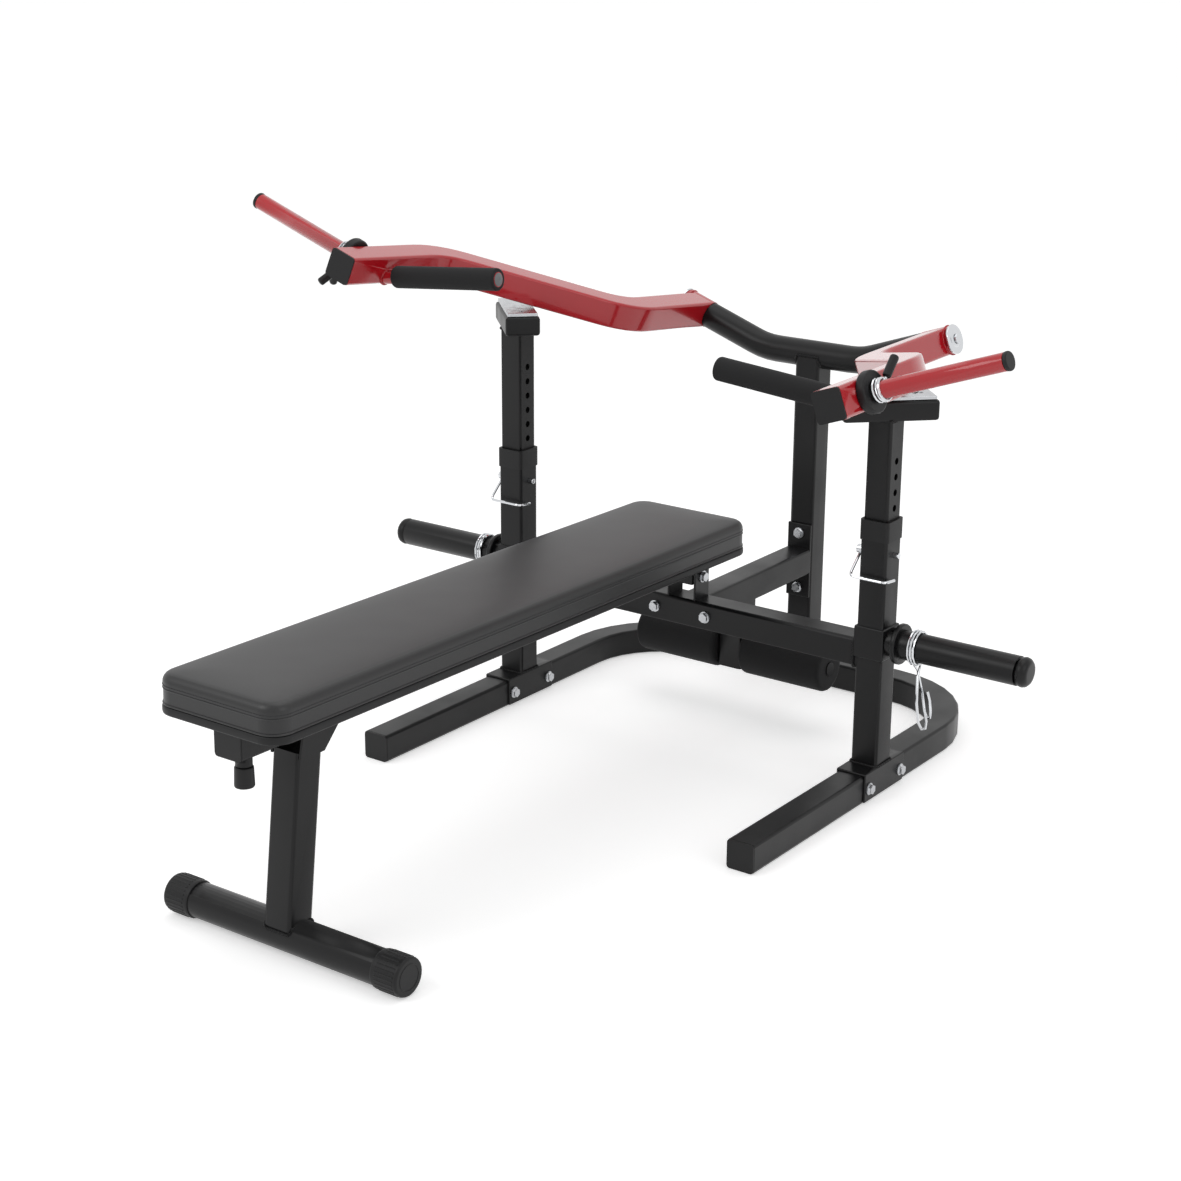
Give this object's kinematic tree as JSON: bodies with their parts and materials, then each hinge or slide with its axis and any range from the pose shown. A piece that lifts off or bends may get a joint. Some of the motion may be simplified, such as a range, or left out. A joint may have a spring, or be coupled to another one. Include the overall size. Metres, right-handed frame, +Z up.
{
  "type": "olympic bench press",
  "caption": "Flat bench with converging lever press arms that pivot on a rear yoke and rest on telescoping uprights, with side pegs for weight plates.",
  "frame": {"origin": "floor level, below the middle of the bounding box", "axes": "+Z up; +Y from the foot of the bench towards the rear post; +X to the right as seen from the foot of the bench"},
  "size_m": [1.4614, 1.6054, 0.9545],
  "materials": {
    "frame_black": "satin black powder coat",
    "arm_red": "gloss red powder coat",
    "zinc": "bright zinc plate",
    "chrome": "polished",
    "black_plastic": "moulded black plastic",
    "black_foam": "matt closed-cell foam rubber",
    "black_vinyl": "satin grained vinyl"
  },
  "bodies": {
    "frame": {"base_frame": "frame_black", "crossbeam": "frame_black", "rear_brace": "frame_black", "rear_post": "frame_black", "yoke": "frame_black", "roller_bar": "frame_black", "bench_rear_bolt": "zinc", "pad_cushion": "black_vinyl", "pad_board": "black_plastic", "bench_rail": "frame_black", "bench_rail_plug": "black_plastic", "front_leg": "frame_black", "leg_bolt": "frame_black", "flange_bolt_upper": "zinc", "flange_bolt_lower": "zinc", "base_plug_left": "black_plastic", "upright_left": "frame_black", "guide_collar_left": "black_plastic", "saddle_bolt_left_front": "zinc", "saddle_bolt_left_rear": "zinc", "crossbeam_bolt_left": "zinc", "foot_cap_left": "black_plastic", "storage_peg_left": "frame_black", "pivot_bolt_left": "chrome", "base_plug_right": "black_plastic", "upright_right": "frame_black", "guide_collar_right": "black_plastic", "saddle_bolt_right_front": "zinc", "saddle_bolt_right_rear": "zinc", "crossbeam_bolt_right": "zinc", "foot_cap_right": "black_plastic", "storage_peg_right": "frame_black", "pivot_bolt_right": "chrome"},
    "press_arm_left": {"press_arm_left": "arm_red", "arm_plug_left": "black_plastic", "hand_grip_left": "black_foam", "stop_disc_left": "black_plastic", "peg_cap_left": "black_plastic"},
    "arm_clip_left": {"arm_clip_left": "chrome", "arm_clip_left_grip_first": "black_plastic", "arm_clip_left_grip_second": "black_plastic"},
    "rest_left": {"rest_post_left": "frame_black", "rest_plate_left": "zinc"},
    "lock_pin_left": {"lock_pin_left": "chrome"},
    "storage_clip_left": {"storage_clip_left": "chrome"},
    "foam_roller_left": {"foam_roller_left": "black_foam"},
    "press_arm_right": {"press_arm_right": "arm_red", "arm_plug_right": "black_plastic", "hand_grip_right": "black_foam", "stop_disc_right": "black_plastic", "peg_cap_right": "black_plastic"},
    "arm_clip_right": {"arm_clip_right": "chrome", "arm_clip_right_grip_first": "black_plastic", "arm_clip_right_grip_second": "black_plastic"},
    "rest_right": {"rest_post_right": "frame_black", "rest_plate_right": "zinc"},
    "lock_pin_right": {"lock_pin_right": "chrome"},
    "storage_clip_right": {"storage_clip_right": "chrome"},
    "foam_roller_right": {"foam_roller_right": "black_foam"},
    "pull_knob": {"pull_knob": "black_plastic"}
  },
  "joints": [
    {"name": "press_arm_left_pivot", "type": "hinge", "parent": "frame", "child": "press_arm_left", "pos_m": [-0.27164, 0.76868, 0.69154], "axis": [-0.9438, 0, 0.3305], "range_deg": [0, 43]},
    {"name": "arm_clip_left_slide", "type": "slide", "parent": "press_arm_left", "child": "arm_clip_left", "axis": [-0.9438, 0, 0.3305], "range_m": [0, 0.18]},
    {"name": "rest_left_slide", "type": "slide", "parent": "frame", "child": "rest_left", "axis": [0, 0, 1], "range_m": [-0.1596, 0]},
    {"name": "lock_pin_left_swing", "type": "hinge", "parent": "frame", "child": "lock_pin_left", "pos_m": [-0.39574, 0.36068, 0.424], "axis": [-1, 0, 0], "range_deg": [0, 90]},
    {"name": "storage_clip_left_slide", "type": "slide", "parent": "frame", "child": "storage_clip_left", "axis": [-1, 0, 0], "range_m": [0, 0.16]},
    {"name": "foam_roller_left_spin", "type": "hinge", "parent": "frame", "child": "foam_roller_left", "pos_m": [-0.12824, 0.52668, 0.129], "axis": [1, 0, 0], "continuous": true},
    {"name": "press_arm_right_pivot", "type": "hinge", "parent": "frame", "child": "press_arm_right", "pos_m": [0.24015, 0.76868, 0.69154], "axis": [-0.9438, 0, -0.3305], "range_deg": [0, 50.5]},
    {"name": "arm_clip_right_slide", "type": "slide", "parent": "press_arm_right", "child": "arm_clip_right", "axis": [0.9438, 0, 0.3305], "range_m": [0, 0.18]},
    {"name": "rest_right_slide", "type": "slide", "parent": "frame", "child": "rest_right", "axis": [0, 0, 1], "range_m": [-0.1596, 0]},
    {"name": "lock_pin_right_swing", "type": "hinge", "parent": "frame", "child": "lock_pin_right", "pos_m": [0.36426, 0.36068, 0.424], "axis": [-1, 0, 0], "range_deg": [0, 90]},
    {"name": "storage_clip_right_slide", "type": "slide", "parent": "frame", "child": "storage_clip_right", "axis": [1, 0, 0], "range_m": [0, 0.16]},
    {"name": "foam_roller_right_spin", "type": "hinge", "parent": "frame", "child": "foam_roller_right", "pos_m": [0.09676, 0.52668, 0.129], "axis": [1, 0, 0], "continuous": true},
    {"name": "pull_knob_slide", "type": "slide", "parent": "frame", "child": "pull_knob", "axis": [0, -0.0134, -0.9999], "range_m": [0, 0.01], "stiffness_N_per_m": 600, "springref_m": -0.01}
  ]
}
